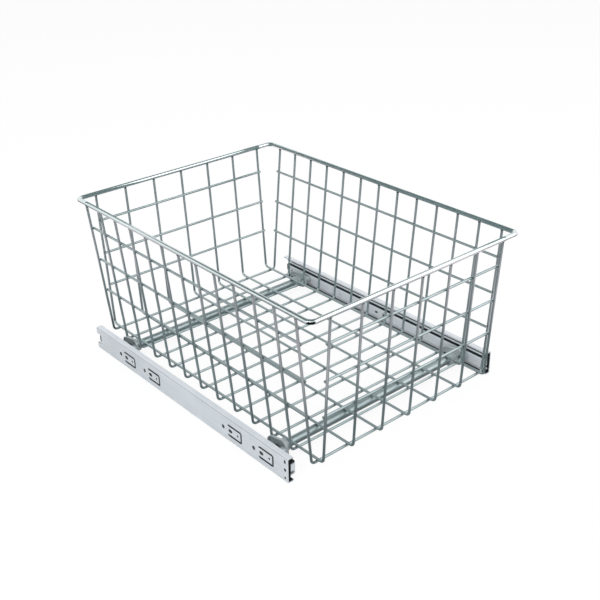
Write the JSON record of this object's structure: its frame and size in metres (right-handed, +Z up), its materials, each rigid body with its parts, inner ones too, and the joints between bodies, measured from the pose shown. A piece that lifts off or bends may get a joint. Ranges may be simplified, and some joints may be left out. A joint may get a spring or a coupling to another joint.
{
  "type": "pull-out wire basket",
  "caption": "Rectangular chromed wire basket on cross tubes between a pair of full-extension ball-bearing slides, pulling straight out of a kitchen cabinet.",
  "frame": {"origin": "under the middle of the rim, level with the slides' lower edges", "axes": "+X from the left slide to the right one, -Y the way the basket pulls out, +Z up"},
  "size_m": [0.3822, 0.5176, 0.2374],
  "materials": {
    "chrome_wire": "bright chrome plate",
    "zinc_steel": "zinc plate",
    "bright_steel": "polished",
    "dark_screw": "black oxide",
    "black_plastic": "moulded"
  },
  "bodies": {
    "cabinet_rails": {"left_cabinet_member": "zinc_steel", "left_rear_bumper": "black_plastic", "right_cabinet_member": "zinc_steel", "right_rear_bumper": "black_plastic"},
    "basket": {"rim": "chrome_wire", "side_wire_01": "chrome_wire", "side_wire_02": "chrome_wire", "side_wire_03": "chrome_wire", "side_wire_04": "chrome_wire", "side_wire_05": "chrome_wire", "side_wire_06": "chrome_wire", "side_wire_07": "chrome_wire", "side_wire_08": "chrome_wire", "side_wire_09": "chrome_wire", "side_wire_10": "chrome_wire", "side_wire_11": "chrome_wire", "side_wire_12": "chrome_wire", "side_wire_13": "chrome_wire", "base_wire_1": "chrome_wire", "base_wire_2": "chrome_wire", "base_wire_3": "chrome_wire", "base_wire_4": "chrome_wire", "base_wire_5": "chrome_wire", "base_wire_6": "chrome_wire", "base_wire_7": "chrome_wire", "front_rails": "chrome_wire", "back_rails": "chrome_wire", "left_rails": "chrome_wire", "right_rails": "chrome_wire", "front_tube": "chrome_wire", "rear_tube": "chrome_wire", "front_left_bracket": "chrome_wire", "front_right_bracket": "chrome_wire", "rear_left_bracket": "chrome_wire", "rear_right_bracket": "chrome_wire", "bracket_screws": "dark_screw", "left_drawer_member": "zinc_steel", "left_lever_pin": "bright_steel", "right_drawer_member": "zinc_steel", "right_lever_pin": "bright_steel"},
    "left_middle": {"left_middle_member": "zinc_steel", "left_front_bumper": "black_plastic"},
    "left_outer_race": {"left_outer_cage": "zinc_steel", "left_outer_balls": "bright_steel"},
    "left_inner_race": {"left_inner_cage": "zinc_steel", "left_inner_balls": "bright_steel"},
    "left_lever": {"left_release_lever": "black_plastic"},
    "right_middle": {"right_middle_member": "zinc_steel", "right_front_bumper": "black_plastic"},
    "right_outer_race": {"right_outer_cage": "zinc_steel", "right_outer_balls": "bright_steel"},
    "right_inner_race": {"right_inner_cage": "zinc_steel", "right_inner_balls": "bright_steel"},
    "right_lever": {"right_release_lever": "black_plastic"}
  },
  "joints": [
    {"name": "basket_slide", "type": "slide", "parent": "cabinet_rails", "child": "basket", "axis": [0, -1, 0], "range_m": [0, 0.44]},
    {"name": "left_middle_slide", "type": "slide", "parent": "cabinet_rails", "child": "left_middle", "axis": [0, -1, 0], "range_m": [0, 0.22]},
    {"name": "left_outer_race_slide", "type": "slide", "parent": "cabinet_rails", "child": "left_outer_race", "axis": [0, -1, 0], "range_m": [0, 0.11]},
    {"name": "left_inner_race_slide", "type": "slide", "parent": "cabinet_rails", "child": "left_inner_race", "axis": [0, -1, 0], "range_m": [0, 0.33]},
    {"name": "left_lever_pivot", "type": "hinge", "parent": "basket", "child": "left_lever", "pos_m": [-0.181, 0.0248, 0.018], "axis": [1, 0, 0], "range_deg": [-5, 5], "stiffness_Nm_per_rad": 0.05},
    {"name": "right_middle_slide", "type": "slide", "parent": "cabinet_rails", "child": "right_middle", "axis": [0, -1, 0], "range_m": [0, 0.22]},
    {"name": "right_outer_race_slide", "type": "slide", "parent": "cabinet_rails", "child": "right_outer_race", "axis": [0, -1, 0], "range_m": [0, 0.11]},
    {"name": "right_inner_race_slide", "type": "slide", "parent": "cabinet_rails", "child": "right_inner_race", "axis": [0, -1, 0], "range_m": [0, 0.33]},
    {"name": "right_lever_pivot", "type": "hinge", "parent": "basket", "child": "right_lever", "pos_m": [0.181, 0.0248, 0.018], "axis": [1, 0, 0], "range_deg": [-5, 5], "stiffness_Nm_per_rad": 0.05}
  ],
  "couplings": [
    {"joint": "left_middle_slide", "follows": "basket_slide", "ratio": 0.5},
    {"joint": "left_outer_race_slide", "follows": "basket_slide", "ratio": 0.25},
    {"joint": "left_inner_race_slide", "follows": "basket_slide", "ratio": 0.75},
    {"joint": "right_middle_slide", "follows": "basket_slide", "ratio": 0.5},
    {"joint": "right_outer_race_slide", "follows": "basket_slide", "ratio": 0.25},
    {"joint": "right_inner_race_slide", "follows": "basket_slide", "ratio": 0.75}
  ]
}
